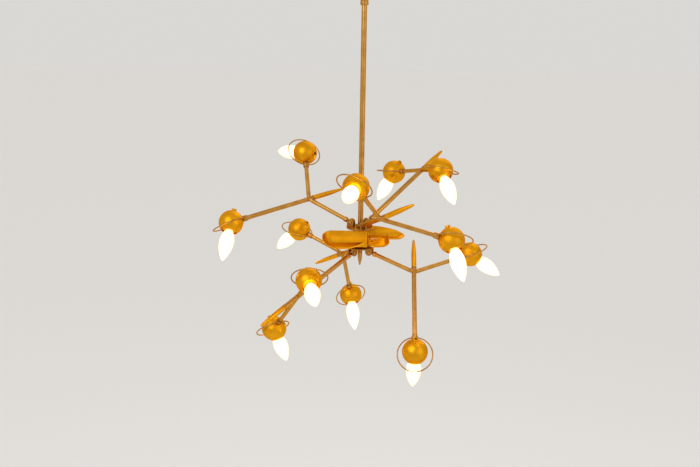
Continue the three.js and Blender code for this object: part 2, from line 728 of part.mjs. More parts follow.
function addArm(hub, arm, index) {
  const number = index + 1;
  const upper = arm.layer === 'upper';
  const azimuth = (upper ? UPPER_AZIMUTH : LOWER_AZIMUTH) - 120 * (index % 3);
  const outward = direction({ azimuth, slope: arm.slope });
  const pinAxis = direction({ azimuth: azimuth - 90, slope: 0 });
  const ends = {
    hub: outward.clone().negate(),
    spike: direction(arm.spike),
    left: direction(arm.left),
    right: direction(arm.right),
  };
  const pivot = new THREE.Group();
  pivot.position.copy(direction({ azimuth, slope: 0 })).multiplyScalar(PIVOT_RADIUS);
  pivot.position.z = upper ? PIVOT_HEIGHT : -PIVOT_HEIGHT;
  const offset = outward.clone().multiplyScalar(arm.reach);
  const tubes = armTubes(arm, ends).translate(offset.x, offset.y, offset.z);
  pivot.add(mesh(`arm_${number}`, geometryOf(tubes.add(tongue(outward, pinAxis))), SATIN_BRASS));
  const junction = new THREE.Group();
  junction.position.copy(offset);
  const point = mesh(`spike_${number}`, spike(), GOLDEN_BRASS);
  point.quaternion.setFromUnitVectors(UP, ends.spike);
  point.position.copy(ends.spike).multiplyScalar(arm.stub + GAP);
  junction.add(point);
  for (const [end, letter] of [['left', 'a'], ['right', 'b']]) {
    const names = [`globe_${number}${letter}`, `ring_${number}${letter}`, `bulb_${number}${letter}`];
    addHead(junction, arm[end], ends[end], names);
  }
  pivot.add(junction);
  hub.add(pivot);
}

addDrop();
const hub = new THREE.Group();
hub.position.z = HUB_MIDDLE;
addHub(hub);
ARMS.forEach((arm, index) => addArm(hub, arm, index));
chandelier.add(hub);

export default chandelier;
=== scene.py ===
import json
import math

import bmesh
import bpy
from mathutils import Matrix, Vector


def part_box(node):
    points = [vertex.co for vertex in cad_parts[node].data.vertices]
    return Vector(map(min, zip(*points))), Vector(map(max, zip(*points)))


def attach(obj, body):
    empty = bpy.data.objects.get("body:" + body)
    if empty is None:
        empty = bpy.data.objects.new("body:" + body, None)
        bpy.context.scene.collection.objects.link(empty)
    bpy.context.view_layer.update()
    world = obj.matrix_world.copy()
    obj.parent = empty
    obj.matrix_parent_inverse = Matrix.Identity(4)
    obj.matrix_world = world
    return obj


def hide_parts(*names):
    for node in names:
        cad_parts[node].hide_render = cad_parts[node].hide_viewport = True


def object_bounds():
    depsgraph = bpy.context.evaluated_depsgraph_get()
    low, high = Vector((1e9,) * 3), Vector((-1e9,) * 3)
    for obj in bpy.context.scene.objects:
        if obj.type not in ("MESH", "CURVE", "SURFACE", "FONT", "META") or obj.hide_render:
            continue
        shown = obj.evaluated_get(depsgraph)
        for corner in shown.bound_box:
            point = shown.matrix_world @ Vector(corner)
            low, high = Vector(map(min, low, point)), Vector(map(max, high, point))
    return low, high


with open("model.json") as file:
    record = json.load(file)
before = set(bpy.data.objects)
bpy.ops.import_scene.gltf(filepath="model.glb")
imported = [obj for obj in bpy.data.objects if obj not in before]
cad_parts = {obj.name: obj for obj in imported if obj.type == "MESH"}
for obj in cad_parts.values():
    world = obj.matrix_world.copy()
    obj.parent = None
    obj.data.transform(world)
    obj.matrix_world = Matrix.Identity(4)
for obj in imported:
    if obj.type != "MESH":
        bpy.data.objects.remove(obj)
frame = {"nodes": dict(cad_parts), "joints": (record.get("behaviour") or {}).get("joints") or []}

cad_low, cad_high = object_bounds()
joints = {j["name"]: j for j in frame["joints"]}

# Shapes below are drawn in millimetres, and MM brings them to metres
MM = Matrix.Scale(0.001, 4)
SHARP = math.radians(38)  # an edge sharper than this is not shaded smooth
GAP = 0.3  # between faces that meet

# Sizes in millimetres, the same as the solids'. A round piece's size is its radius.
STEM = 6.35
STEM_BORE = 5
BORE = 6.75  # of what sits round the stem
PLATE = 50
PLATE_THICKNESS = 4
PLATE_SCREW_PITCH = 35
SOCKET_DEPTH = 20
SOCKET_WALL = 3
CANOPY = 62
CANOPY_DEPTH = 32
CANOPY_WALL = 1.6
CANOPY_COLLAR = 10.25
CANOPY_COLLAR_DEPTH = 12
COUPLER = 9.5
FINIAL_SPIGOT = 8
PIVOT_RADIUS = 24
PIVOT_HEIGHT = 35
HUB_PLATE = 34
HUB_INNER = 22
HUB_OUTER = 26
HUB_BOSS = 12
UPPER_FORK = 162  # where each plate's first fork points, in degrees
LOWER_FORK = -18
CLAMP = 33  # disc of the lower boss that the dishes are screwed to
TONGUE = 7
TONGUE_THICKNESS = 8
EAR = 8.5
EAR_INNER = 4.4
EAR_OUTER = 8.4
DISH_FLOOR = -9
SPIKE_TUBE = 5.5
PLAIN_TUBE = 5
BEND = 26
TUBE_START = 12
TUBE_IN_SPIKE = 4
TUBE_IN_BALL = 2
BRAZE_LENGTH = 7  # of a fillet along each tube, from the end of its bend
BRAZE_THICKNESS = 0.35
SPIKE_LENGTH = 74
BALL = 30
BALL_WALL = 1.6
BACK_HOLE = 3.5
BACK_COLLAR = 6
MOUTH = 19
HOLDER = 10.4
HOOP = 41
HOOP_OFFSET = 6.2
WIRE = 1.5
FERRULE = 7.3
FERRULE_BORE = 5.9
FERRULE_END = 42
GLASS_TIP = 98

# Where each arm's hub tube goes on to. The other tube joins the two ends that are left.
HUB_TUBE = {1: "a", 2: "spike", 3: "spike", 4: "a", 5: "spike", 6: "spike"}

# How each hoop is set on its leg: turned about it, and tipped from it, in degrees
HOOPS = {
    "1a": (30.3, -9.4), "1b": (9.9, -4.4), "2a": (2.4, 3), "2b": (26.8, 3.3),
    "3a": (28.3, -2.4), "3b": (-3.3, 7), "4a": (-13.1, 9.6), "4b": (-5.5, -3.9),
    "5a": (2.9, 6.2), "5b": (-29.2, 4.7), "6a": (-4.7, -4.1), "6b": (13.3, 5),
}

# Dishes: where the far end points, its length, how far it lifts, how far its inner side rises
# there, how far in its walls reach, and the heights of the two long rims at the root, half way
# and the far end
DISHES = {
    "left_dish": (180, 108, -1, 2, 21, (20.5, 21, 21), (8.7, -12.5, 1)),
    "front_dish": (-90, 112, 7, 0, 12, (5, 6, 3), (10, 9.5, 3)),
    "right_dish": (0, 127, -1, -3, 18, (5, -6, -4), (12, 13, -3)),
    "back_dish": (90, 110, -8, 0, 18, (9, 2, -8), (9, 1, -8)),
}
DISH_OPENING = 17
DISH_ROOT = -16.4
DISH_WIDTH = 52
DISH_WALL = 1.8
DISH_END = 22
DISH_FLAT = 36  # the floor is level up to this far from the stem
DISH_BEND = 100  # and fully lifted from here
DISH_LIP = 5
DISH_LIP_SHARE = 0.3
DISH_CURL = 2.4  # width of the rim's edge that curls over
DISH_CURL_DROP = 1.6
DISH_LOOPS = (0, 0.5, 1.1, 1.8, 2.7, 3.9, 5.4, 7.2, 9.4, 12, 15, 18.5, 22)  # how far in they lie
DISH_SCREW = (4, 29.5)


# Materials

def colour(text):
    """An sRGB hex value as a linear colour."""
    parts = [int(text[i:i + 2], 16) / 255 for i in (0, 2, 4)]
    return [c / 12.92 if c <= 0.04045 else ((c + 0.055) / 1.055) ** 2.4 for c in parts] + [1.0]


def add(tree, kind, inputs=None, **settings):
    """A node with its settings; an input is a value, or the socket that feeds it."""
    node = tree.nodes.new(kind)
    for name, value in settings.items():
        setattr(node, name, value)
    for name, value in (inputs or {}).items():
        if isinstance(value, bpy.types.NodeSocket):
            tree.links.new(value, node.inputs[name])
        else:
            node.inputs[name].default_value = value
    return node


def new_material(name):
    material = bpy.data.materials.new(name)
    material.use_nodes = True
    tree = material.node_tree
    return material, tree, tree.nodes["Principled BSDF"]


GRAZING_TINT = "FFD890"  # brass stays yellow where it is seen along its surface


def brass(name, light, dark, roughness, mottle_mm, grain=None, grain_depth=0.12, lacquer=0):
    """Brass with a tarnish that wanders between two colours. grain is (round, along), the
    millimetres between the tool's lines each way on the piece's UV map. lacquer is how much of
    a clear, glossy coat it has."""
    material, tree, shader = new_material(name)
    place = add(tree, "ShaderNodeTexCoord").outputs["Object"]
    mottle = add(tree, "ShaderNodeTexNoise", {
        "Vector": place, "Scale": 1000 / mottle_mm, "Detail": 5.0, "Roughness": 0.6})
    smears = add(tree, "ShaderNodeTexNoise", {
        "Vector": place, "Scale": 250 / mottle_mm, "Detail": 3.0, "Distortion": 1.2})
    blend = add(tree, "ShaderNodeMapRange", {
        "Value": mottle.outputs["Fac"], "From Min": 0.35, "From Max": 0.7})
    tint = add(tree, "ShaderNodeMix", {
        "Factor": blend.outputs["Result"], "A": colour(light), "B": colour(dark)}, data_type="RGBA")
    tree.links.new(tint.outputs["Result"], shader.inputs["Base Color"])
    gloss = add(tree, "ShaderNodeMapRange", {
        "Value": smears.outputs["Fac"], "From Min": 0.3, "From Max": 0.7,
        "To Min": roughness * 0.8, "To Max": roughness * 1.25})
    tree.links.new(gloss.outputs["Result"], shader.inputs["Roughness"])
    shader.inputs["Metallic"].default_value = 1.0
    shader.inputs["Specular Tint"].default_value = colour(GRAZING_TINT)
    shader.inputs["Coat Weight"].default_value = lacquer
    shader.inputs["Coat Roughness"].default_value = 0.12
    height = mottle.outputs["Fac"]
    if grain:
        uv = add(tree, "ShaderNodeTexCoord").outputs["UV"]
        stretch = add(tree, "ShaderNodeMapping", {
            "Vector": uv, "Scale": (1000 / grain[0], 1000 / grain[1], 1.0)})
        lines = add(tree, "ShaderNodeTexNoise", {
            "Vector": stretch.outputs["Vector"], "Scale": 1.0, "Detail": 2.0})
        height = lines.outputs["Fac"]
    bump = add(tree, "ShaderNodeBump", {
        "Height": height, "Strength": grain_depth, "Distance": 0.0002})
    tree.links.new(bump.outputs["Normal"], shader.inputs["Normal"])
    return material


# Drawn brass tube, brushed along: long soft highlights, and hardly any stain
DRAWN = brass("drawn_brass_tube", "CF9A4C", "B98239", 0.3, 24, grain=(0.5, 22), grain_depth=0.1)
# Turned brass: rings round the axis from the lathe tool
TURNED = brass("turned_brass", "CC9547", "B07A34", 0.28, 12, grain=(30, 0.45), grain_depth=0.1)
# Spun brass, matted and lacquered: a deep satin gold under small, sharp highlights
SPUN = brass("lacquered_spun_brass", "EFA712", "DB930B", 0.37, 24, grain=(40, 0.7), grain_depth=0.03,
             lacquer=0.08)
# Pressed brass sheet with the same finish, and the soft ripple of the press
PRESSED = brass("lacquered_pressed_brass", "F1AA12", "DD960B", 0.4, 26, grain_depth=0.04, lacquer=0.08)
# Hard-drawn brass wire: a brighter, springy metal with fine lines along it
HARD_DRAWN = brass("hard_drawn_brass_wire", "CB9850", "A97935", 0.28, 9, grain=(0.4, 12))
# Cast brass fittings, tarnished brown in patches that wander over them
AGED = brass("aged_cast_brass", "C08C48", "96682F", 0.34, 8, grain_depth=0.14)
# Silver solder fillet, filed and polished with the tubes
BRAZE = brass("brazed_fillet", "CB9549", "B27D38", 0.33, 8, grain_depth=0.1)


def steel():
    """Zinc plating on mild steel: pale grey with a faint spangle."""
    material, tree, shader = new_material("zinc_plated_steel")
    place = add(tree, "ShaderNodeTexCoord").outputs["Object"]
    spangle = add(tree, "ShaderNodeTexVoronoi", {"Vector": place, "Scale": 260.0})
    tint = add(tree, "ShaderNodeMix", {
        "Factor": spangle.outputs["Distance"], "A": colour("A9ACAE"), "B": colour("8B8F93")},
        data_type="RGBA")
    tree.links.new(tint.outputs["Result"], shader.inputs["Base Color"])
    gloss = add(tree, "ShaderNodeMapRange", {
        "Value": spangle.outputs["Distance"], "To Min": 0.3, "To Max": 0.5})
    tree.links.new(gloss.outputs["Result"], shader.inputs["Roughness"])
    shader.inputs["Metallic"].default_value = 1.0
    return material


def glowing_glass():
    """Frosted lamp glass, lit from inside: hottest round the filament, amber at the neck, and
    dimmer and warmer towards its outline, where the frost is seen along its surface."""
    material, tree, shader = new_material("frosted_lamp_glass")
    uv = add(tree, "ShaderNodeTexCoord").outputs["UV"]
    along = add(tree, "ShaderNodeSeparateXYZ", {"Vector": uv})
    ramp = add(tree, "ShaderNodeValToRGB", {"Fac": add(tree, "ShaderNodeMapRange", {
        "Value": along.outputs["Y"], "From Min": 0.0086, "From Max": 0.0966}).outputs["Result"]})
    stops = ramp.color_ramp.elements
    stops[0].color = colour("E89A3C")
    stops[1].color = colour("FFC987")
    for position, value in ((0.16, "FFBE70"), (0.34, "FFD8A0"), (0.6, "FFE0B0"), (0.85, "FFD294")):
        stops.new(position).color = colour(value)
    frost = add(tree, "ShaderNodeTexNoise", {
        "Vector": add(tree, "ShaderNodeTexCoord").outputs["Object"], "Scale": 2500.0, "Detail": 2.0})
    bump = add(tree, "ShaderNodeBump", {
        "Height": frost.outputs["Fac"], "Strength": 0.15, "Distance": 0.0002})
    turned_away = add(tree, "ShaderNodeLayerWeight", {"Blend": 0.5}).outputs["Facing"]
    edge = add(tree, "ShaderNodeMapRange", {
        "Value": turned_away, "From Min": 0.08, "From Max": 0.6}).outputs["Result"]
    dimming = add(tree, "ShaderNodeMapRange", {"Value": edge, "To Min": 8.0, "To Max": 1.05})
    warming = add(tree, "ShaderNodeMix", {
        "Factor": edge, "A": ramp.outputs["Color"], "B": colour("FFC070")}, data_type="RGBA")
    tree.links.new(dimming.outputs["Result"], shader.inputs["Emission Strength"])
    tree.links.new(warming.outputs["Result"], shader.inputs["Emission Color"])
    tree.links.new(bump.outputs["Normal"], shader.inputs["Normal"])
    shader.inputs["Base Color"].default_value = colour("FFF6E6")
    shader.inputs["Roughness"].default_value = 0.45
    return material


def painted(name, hex_value, roughness):
    material, tree, shader = new_material(name)
    shader.inputs["Base Color"].default_value = colour(hex_value)
    shader.inputs["Roughness"].default_value = roughness
    return material


STEEL = steel()
GLASS = glowing_glass()


# Shapes

def eased(points, radius, closed=False, steps=4):
    """A profile with each corner rounded, by up to half of its shorter side."""
    result = []
    count = len(points)
    for i, point in enumerate(points):
        here = Vector(point)
        back = Vector(points[i - 1]) - here
        on = Vector(points[(i + 1) % count]) - here
        reach = min(radius, back.length * 0.45, on.length * 0.45)
        if (not closed and i in (0, count - 1)) or reach < 0.01:
            result.append(here)
            continue
        start = here + back.normalized() * reach
        end = here + on.normalized() * reach
        for k in range(steps + 1):
            t = k / steps
            result.append(start.lerp(here, t).lerp(here.lerp(end, t), t))
    return result


def unwrap(bm, along, around, girth):
    """A UV map in metres, round and along, from two values kept on the vertices."""
    uv = bm.loops.layers.uv.new("UVMap")
    for face in bm.faces:
        turns = [loop.vert[around] for loop in face.loops]
        for loop, turn in zip(face.loops, turns):
            if max(turns) - turn > girth / 2:
                turn += girth
            loop[uv].uv = (turn * 0.001, loop.vert[along] * 0.001)


def lathe(profile, steps=48, closed=False):
    """A profile of (radius, height) spun about Z."""
    bm = bmesh.new()
    along = bm.verts.layers.float.new("along")
    around = bm.verts.layers.float.new("around")
    line = []
    distance = 0
    for i, (radius, height) in enumerate(profile):
        if i:
            distance += math.dist(profile[i - 1], (radius, height))
        vert = bm.verts.new((radius, 0, height))
        vert[along] = distance
        line.append(vert)
    edges = [bm.edges.new(pair) for pair in zip(line, line[1:])]
    if closed:
        edges.append(bm.edges.new((line[-1], line[0])))
    bmesh.ops.spin(bm, geom=line + edges, cent=(0, 0, 0), axis=(0, 0, 1), dvec=(0, 0, 0),
                   angle=math.tau, steps=steps, use_merge=True)
    bmesh.ops.remove_doubles(bm, verts=bm.verts, dist=0.001)
    bmesh.ops.recalc_face_normals(bm, faces=bm.faces)
    radius = max(r for r, _ in profile)
    for vert in bm.verts:
        vert[around] = math.atan2(vert.co.y, vert.co.x) * radius
    unwrap(bm, along, around, math.tau * radius)
    return bm


def sphere_arc(radius, start, end, steps):
    angles = [start + (end - start) * i / steps for i in range(steps + 1)]
    return [(radius * math.sin(a), radius * math.cos(a)) for a in angles]


def facing(direction):
    """A turn that brings Z to a direction."""
    return Vector(direction).to_track_quat("Z", "Y").to_matrix().to_4x4()


def tube(start, end, radius, steps=24):
    """A round tube from start to end, bent at the origin."""
    into = -start.normalized()
    out = end.normalized()
    turn = into.angle(out)
    bm = bmesh.new()
    along = bm.verts.layers.float.new("along")
    around = bm.verts.layers.float.new("around")
    turned = into.to_track_quat("Z", "Y")
    where = Matrix.Translation(start) @ turned.to_matrix().to_4x4()
    bmesh.ops.create_circle(bm, segments=steps, radius=radius, cap_ends=False, matrix=where)
    for vert in bm.verts:
        flat = turned.inverted() @ (vert.co - start)
        vert[around] = math.atan2(flat.y, flat.x) * radius

    def rim(geometry):
        fresh = {g for g in geometry if isinstance(g, bmesh.types.BMVert)}
        return list(fresh), [e for v in fresh for e in v.link_edges
                             if e.verts[0] is v and e.other_vert(v) in fresh]

    def push(edges, shift):
        made = bmesh.ops.extrude_edge_only(bm, edges=edges)["geom"]
        verts, edges = rim(made)
        bmesh.ops.translate(bm, verts=verts, vec=shift)
        return verts, edges

    edges = bm.edges[:]
    trim = BEND * math.tan(turn / 2) if turn > 0.02 else 0
    first = -into * trim
    verts, edges = push(edges, first - start)
    if trim:
        side = (out - into * out.dot(into)).normalized()
        centre = first + side * BEND
        made = bmesh.ops.spin(bm, geom=verts + edges, cent=centre, axis=into.cross(side),
                              dvec=(0, 0, 0), angle=turn, steps=10)["geom_last"]
        verts, edges = rim(made)
    last = out * trim
    push(edges, end - last)
    run = (first - start).length
    for vert in bm.verts:
        if (vert.co - first).dot(into) <= 0.001:
            vert[along] = (vert.co - start).dot(into)
        elif (vert.co - last).dot(out) >= -0.001:
            vert[along] = run + BEND * turn + (vert.co - last).dot(out)
        else:
            spoke = vert.co - centre
            vert[along] = run + BEND * math.atan2(spoke.dot(into), -spoke.dot(side))
    unwrap(bm, along, around, math.tau * radius)
    bmesh.ops.holes_fill(bm, edges=bm.edges, sides=0)
    bmesh.ops.recalc_face_normals(bm, faces=bm.faces)
    return bm


def joined(*meshes):
    """Several bmeshes as one; the others are freed."""
    first = meshes[0]
    for other in meshes[1:]:
        mesh = bpy.data.meshes.new("joining")
        other.to_mesh(mesh)
        other.free()
        first.from_mesh(mesh)
        bpy.data.meshes.remove(mesh)
    return first


def moved(bm, matrix):
    bmesh.ops.transform(bm, matrix=matrix, verts=bm.verts)
    return bm


def piece(name, bm, where, material, body, slot, *nodes):
    """Places a shape, and makes it a piece that rides on a body and stands for some nodes."""
    moved(bm, where @ MM)
    for face in bm.faces:
        face.smooth = True
    for edge in bm.edges:
        if len(edge.link_faces) == 2 and edge.calc_face_angle(0) > SHARP:
            edge.smooth = False
    mesh = bpy.data.meshes.new(name)
    bm.to_mesh(mesh)
    bm.free()
    mesh.materials.append(material)
    obj = bpy.data.objects.new(name, mesh)
    bpy.context.scene.collection.objects.link(obj)
    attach(obj, body)
    if nodes:
        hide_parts(*nodes)
    return obj


def rounded_edges(obj, width_mm, segments=3):
    bevel = obj.modifiers.new("rounded_edges", "BEVEL")
    bevel.width = width_mm * 0.001
    bevel.segments = segments
    bevel.limit_method = "ANGLE"
    bevel.angle_limit = math.radians(40)
    bevel.harden_normals = False


def screw_head(radius, height, slot):
    """A slotted cheese head, its underside at z = 0."""
    halves = []
    for turn in (0, math.pi):
        half = lathe(eased([(0, 0), (radius, 0), (radius, height * 0.6), (0, height)], 0.5), 32)
        bmesh.ops.bisect_plane(half, geom=half.verts[:] + half.edges[:] + half.faces[:],
                               plane_co=(slot / 2, 0, 0), plane_no=(1, 0, 0), clear_inner=True)
        bmesh.ops.holes_fill(half, edges=half.edges, sides=0)
        halves.append(moved(half, Matrix.Rotation(turn, 4, "Z")))
    base = lathe([(0, 0), (radius * 0.97, 0), (radius * 0.97, height * 0.3), (0, height * 0.3)], 32)
    return joined(base, *halves)


# Places, from the frame

def points_of(node):
    return {tuple(round(c, 6) for c in v.co) for v in frame["nodes"][node].data.vertices}


def far_end(node, origin):
    """The middle of a node's far end, seen from a point."""
    points = [Vector(p) for p in points_of(node)]
    reach = max((p - origin).length for p in points)
    ends = [p for p in points if (p - origin).length > reach - 0.0004]
    return sum(ends, Vector()) / len(ends)


def crossing(p, u, q, v):
    """Where two lines meet, each given by a point and a direction."""
    w = q - p
    uv = u.dot(v)
    s = (w.dot(u) - w.dot(v) * uv) / (1 - uv * uv)
    t = (w.dot(u) * uv - w.dot(v)) / (1 - uv * uv)
    return ((p + u * s) + (q + v * t)) / 2


pivots = {k: Vector(joints[f"arm_{k}_tilt"]["pos_m"]) for k in range(1, 7)}
hub_middle = (pivots[1] + pivots[4]).z / 2
HUB = Matrix.Translation((0, 0, hub_middle))


# Drop

def build_drop():
    under = -PLATE_THICKNESS
    socket = under - SOCKET_DEPTH
    profile = [(0, under), (BORE, under), (BORE, socket), (BORE + SOCKET_WALL, socket),
               (BORE + SOCKET_WALL, under), (PLATE, under), (PLATE, 0), (0, 0)]
    piece("ceiling_plate_disc", lathe(eased(profile, 0.6), 96), Matrix.Identity(4), STEEL, "root",
          "zinc_plated_steel", "ceiling_plate")
    for side in (-1, 1):
        spot = Vector((side * PLATE_SCREW_PITCH, 0, under)) * 0.001
        where = Matrix.Translation(spot) @ Matrix.Rotation(math.pi, 4, "X")
        piece(f"plate_screw_{'lr'[side > 0]}", screw_head(4.2, 2.6, 1.0), where, STEEL, "root",
              "zinc_plated_steel")
    bottom = -GAP - CANOPY_DEPTH
    collar = bottom - CANOPY_COLLAR_DEPTH
    shoulder = bottom + 26
    inner = CANOPY - CANOPY_WALL
    cup = [(BORE, collar), (CANOPY_COLLAR, collar), (CANOPY_COLLAR, bottom - 0.5),
           (BORE + 6, bottom), (38, bottom + 3.2), (50, bottom + 7.6), (57.5, bottom + 13.5),
           (61.2, bottom + 20.5), (CANOPY, shoulder), (CANOPY, -GAP), (inner, -GAP),
           (inner, shoulder), (59.4, bottom + 21), (55.8, bottom + 14.6), (48.6, bottom + 9),
           (37, bottom + 4.9), (BORE + 6, bottom + CANOPY_WALL), (BORE, bottom + CANOPY_WALL)]
    piece("canopy_cup", lathe(eased(cup, 1.2, closed=True), 96, closed=True), Matrix.Identity(4),
          TURNED, "root", "satin_brass", "canopy")
    spot = Vector((0, 0.05 - CANOPY_COLLAR, bottom - CANOPY_COLLAR_DEPTH / 2)) * 0.001
    where = Matrix.Translation(spot) @ Matrix.Rotation(math.pi / 2, 4, "X")
    knob = lathe(eased([(0, 0), (1.6, 0), (1.6, 2.5), (3.4, 2.5), (3.4, 7.5), (0, 7.5)], 0.5), 24)
    piece("canopy_thumb_screw", knob, where, TURNED, "root", "satin_brass")
    for name, node in (("upper_stem_tube", "upper_stem"), ("lower_stem_tube", "lower_stem")):
        low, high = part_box(node)
        foot, top = low.z * 1000, high.z * 1000
        wall = [(STEM_BORE, foot), (STEM, foot), (STEM, top), (STEM_BORE, top)]
        piece(name, lathe(eased(wall, 0.3, closed=True), 40, closed=True), Matrix.Identity(4),
              DRAWN, "root", "satin_brass", node)
    low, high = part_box("stem_coupler")
    half = (high.z - low.z) * 500
    groove = COUPLER - 0.6
    sleeve = [(BORE, -half), (COUPLER - 0.9, -half), (COUPLER, 1.4 - half), (COUPLER, -4),
              (groove, -3.4), (groove, -2.2), (COUPLER, -1.6), (COUPLER, 1.6), (groove, 2.2),
              (groove, 3.4), (COUPLER, 4), (COUPLER, half - 1.4), (COUPLER - 0.9, half), (BORE, half)]
    piece("coupler_sleeve", lathe(eased(sleeve, 0.35, closed=True), 48, closed=True),
          Matrix.Translation((0, 0, (low.z + high.z) / 2)), TURNED, "root", "satin_brass",
          "stem_coupler")
    low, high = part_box("finial")
    top = high.z * 1000 - FINIAL_SPIGOT
    rise = top - low.z * 1000
    shape = [(0, -rise), (0.9, -rise + 0.1), (1.7, -rise + 1.2), (2.6, -rise + 6), (4.3, -rise + 14),
             (5.3, -rise + 21), (5.5, -rise + 25), (5.5, -6.2), (4.7, -5.4), (4.7, -4.2), (6.2, -3.2),
             (8.4, -2.5), (9, -2.2), (9, 0), (4.6, 0), (4.6, FINIAL_SPIGOT), (0, FINIAL_SPIGOT)]
    piece("finial_spindle", lathe(eased(shape, 0.5), 48), Matrix.Translation((0, 0, top * 0.001)),
          TURNED, "root", "satin_brass", "finial")


# Hub

def ear(side):
    """One ear of a fork, its pin hole at the origin and its foot below."""
    bm = bmesh.new()
    upright = Matrix.Rotation(math.pi / 2, 4, "X")
    made = bmesh.ops.create_circle(bm, segments=48, radius=EAR, cap_ends=True, matrix=upright)
    foot = sorted((v for v in made["verts"] if v.co.z < -0.01), key=lambda v: v.co.x)
    for vert in foot:
        vert.co.z = -(PIVOT_HEIGHT - HUB_OUTER + 1)
    bmesh.ops.dissolve_verts(bm, verts=foot[1:-1])
    up = bmesh.ops.extrude_face_region(bm, geom=bm.faces[:])["geom"]
    verts = [g for g in up if isinstance(g, bmesh.types.BMVert)]
    bmesh.ops.translate(bm, verts=verts, vec=(0, EAR_OUTER - EAR_INNER, 0))
    bmesh.ops.remove_doubles(bm, verts=bm.verts, dist=0.001)
    bmesh.ops.recalc_face_normals(bm, faces=bm.faces)
    start = EAR_INNER if side > 0 else -EAR_OUTER
    return moved(bm, Matrix.Translation((0, start, 0)))


def build_hub_half(name, node, foot, turn):
    """A plate with its forks, standing on a boss; foot is the boss's lower part."""
    plate = lathe(eased([(BORE, HUB_INNER), (HUB_PLATE - 1.5, HUB_INNER), (HUB_PLATE, HUB_INNER + 1.5),
                         (HUB_PLATE, HUB_OUTER - 1), (HUB_PLATE - 1, HUB_OUTER), (BORE, HUB_OUTER)],
                        0.5, closed=True), 96, closed=True)
    boss = lathe(eased(foot + [(HUB_BOSS, HUB_INNER - 3), (HUB_BOSS + 2, HUB_INNER),
                               (BORE, HUB_INNER)], 0.8, closed=True), 64, closed=True)
    shapes = [plate, boss]
    if name.startswith("upper"):
        shapes.append(lathe(eased([(BORE, HUB_OUTER), (10.5, HUB_OUTER), (10.5, HUB_OUTER + 4.5),
                                   (9, HUB_OUTER + 5.5), (BORE, HUB_OUTER + 5.5)], 0.4, closed=True),
                            6, closed=True))
    piece(name, joined(*shapes), turn, AGED, "root", "dark_brass", node)
    for i in range(3):
        for side in (-1, 1):
            where = turn @ Matrix.Rotation(math.radians(120 * i), 4, "Z") @ Matrix.Translation(
                (PIVOT_RADIUS * 0.001, 0, PIVOT_HEIGHT * 0.001))
            fork = piece(f"{name}_ear_{i + 1}{'ab'[side > 0]}", ear(side), where, AGED, "root",
                         "dark_brass")
            rounded_edges(fork, 0.8)


def through(values, u):
    """A smooth curve through three values, at its start, half way and its end."""
    start, middle, end = values
    return start * (1 - u) * (1 - 2 * u) + 4 * middle * u * (1 - u) + end * u * (2 * u - 1)


def dish_height(x, y, below, length, lift, roll, reach, inner, outer):
    """Height of a dish's upper face, or of its lower one. The root is open, and the other sides
    rise to the rim, twice as steeply by the stem. The rim's edge curls over a little."""
    bend = min(max((math.hypot(x, y) - DISH_FLAT) / (DISH_BEND - DISH_FLAT), 0), 1)
    side = DISH_WIDTH / 2 - abs(y - DISH_OPENING - DISH_WIDTH / 2)
    out = x - (DISH_ROOT + length - DISH_END)
    depth = min(side, DISH_END - max(out, 0))
    if out > 0 and side < DISH_END:
        depth = DISH_END - math.hypot(out, DISH_END - side)
    curl = max(1 - depth / DISH_CURL, 0) ** 2 * DISH_CURL_DROP
    depth = (depth - DISH_WALL * (1 - below)) * (2 - bend)
    rise = ((1 - DISH_LIP_SHARE) * min(max(1 - depth / reach, 0), 1) ** 1.5
            + DISH_LIP_SHARE * min(max(1 - depth / DISH_LIP, 0), 1) ** 2)
    across = (y - DISH_OPENING) / DISH_WIDTH
    along = (x - DISH_ROOT) / length
    floor = DISH_FLOOR + bend * (lift + roll * (1 - 2 * across))
    rim = through(inner, along) * (1 - across) + through(outer, along) * across
    return floor + rise * (rim - floor) - DISH_WALL * (1 - rise) * below - curl


